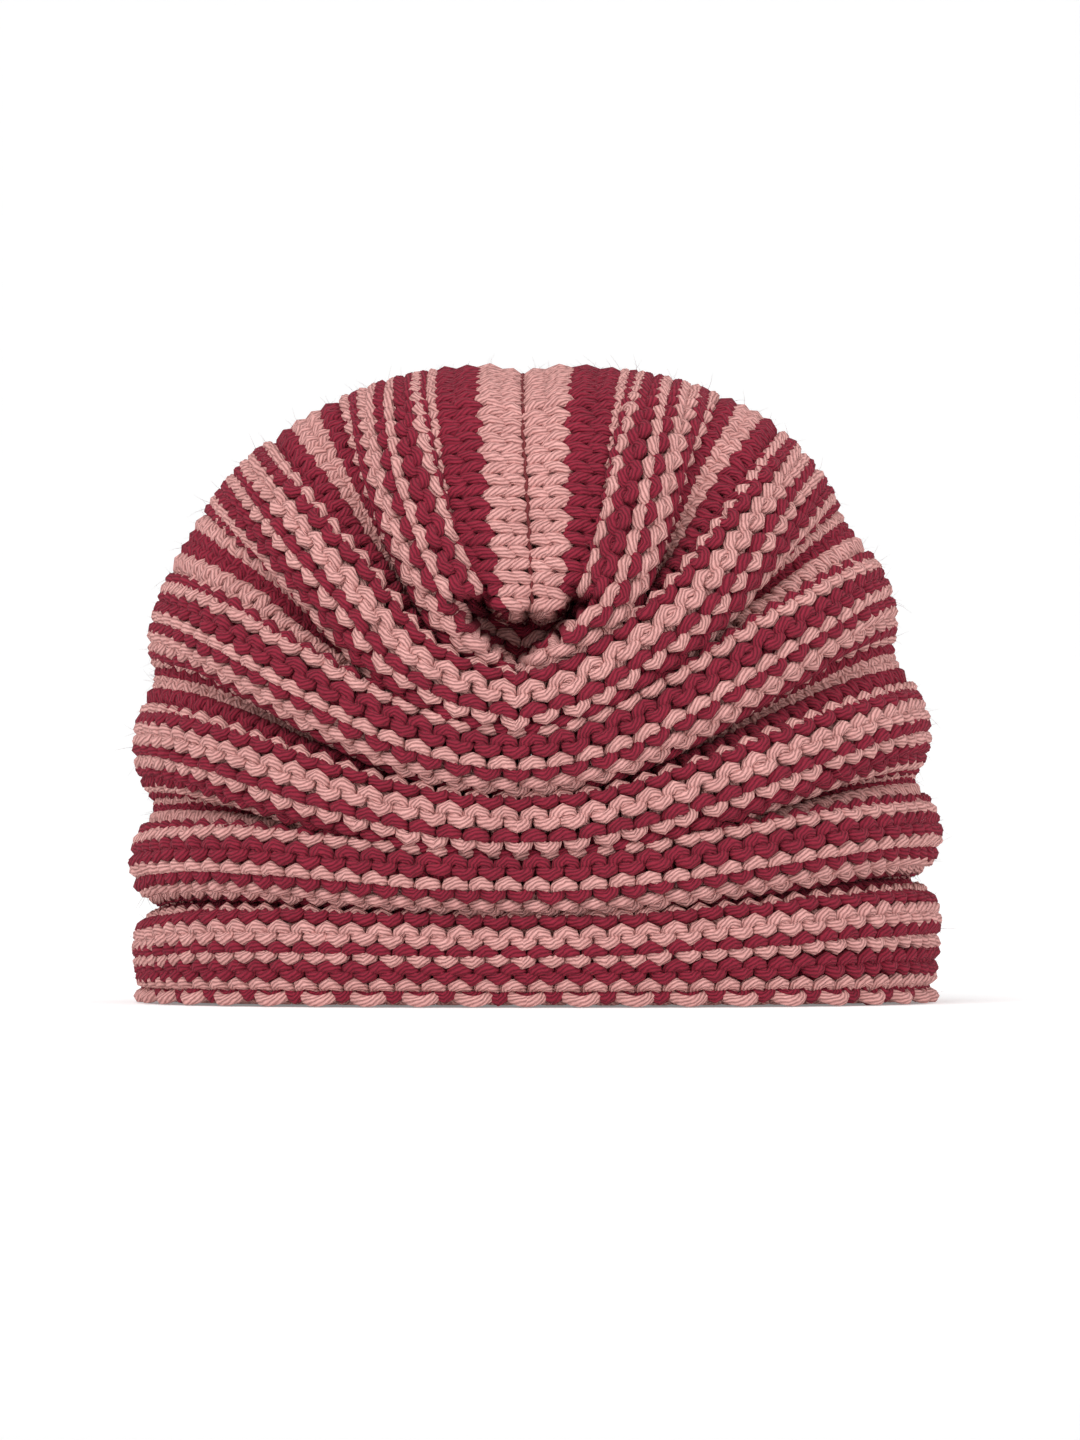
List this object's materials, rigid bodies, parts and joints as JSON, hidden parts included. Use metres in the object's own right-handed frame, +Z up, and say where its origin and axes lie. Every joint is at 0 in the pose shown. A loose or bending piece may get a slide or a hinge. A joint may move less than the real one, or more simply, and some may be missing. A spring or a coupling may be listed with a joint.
{
  "type": "wool beanie",
  "caption": "Hand-knitted striped wool beanie in folded welts, with a seam over the crown tucked in at the front.",
  "frame": {"origin": "middle of the brim, on the surface the hat stands on", "axes": "+Z up towards the crown, -Y towards the front where the seam is tucked in, +X to the right as seen from the front"},
  "size_m": [0.1916, 0.1507, 0.1514],
  "materials": {
    "burgundy_wool": "chunky plied wool, burgundy with pink stripes every second row",
    "pink_wool": "chunky plied wool, dusty salmon pink",
    "sewing_wool": "plied wool, burgundy"
  },
  "bodies": {
    "root": {"knitted_body": "burgundy_wool", "cast_on_edge": "pink_wool", "crown_seam": "sewing_wool"}
  },
  "joints": []
}
